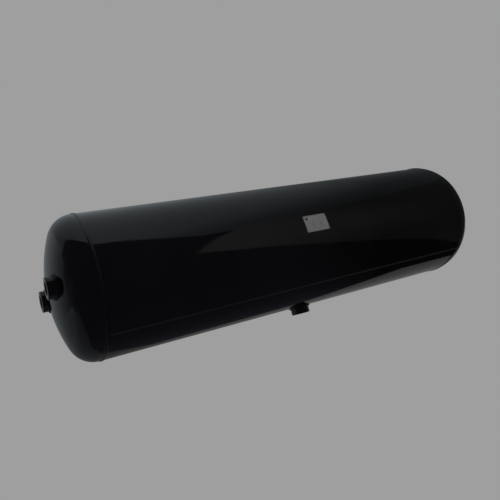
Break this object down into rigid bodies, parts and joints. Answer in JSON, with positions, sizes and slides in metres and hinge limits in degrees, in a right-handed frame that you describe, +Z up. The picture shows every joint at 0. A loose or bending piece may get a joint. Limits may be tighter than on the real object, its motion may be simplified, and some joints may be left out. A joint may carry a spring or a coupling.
{
  "type": "compressed-air tank",
  "caption": "Horizontal black welded steel air tank with a rolled shell, dished ends, short threaded bosses on the ends and underneath, and a small bare rating plate.",
  "frame": {"origin": "on the floor, which the drain boss's end face stands on, under the middle of the tank", "axes": "+X along the tank towards its right head, +Z up, -Y towards the near side that carries the rating plate and the long seam"},
  "size_m": [0.9124, 0.2482, 0.2611],
  "materials": {
    "black_paint": "gloss",
    "plate_metal": "satin"
  },
  "bodies": {
    "root": {"shell": "black_paint", "long_seam_weld": "black_paint", "rating_plate": "plate_metal", "drain_boss": "black_paint", "drain_boss_weld": "black_paint", "left_head": "black_paint", "left_head_weld": "black_paint", "left_near_boss": "black_paint", "left_near_boss_weld": "black_paint", "left_far_boss": "black_paint", "left_far_boss_weld": "black_paint", "right_head": "black_paint", "right_head_weld": "black_paint", "right_near_boss": "black_paint", "right_near_boss_weld": "black_paint", "right_far_boss": "black_paint", "right_far_boss_weld": "black_paint"}
  },
  "joints": []
}
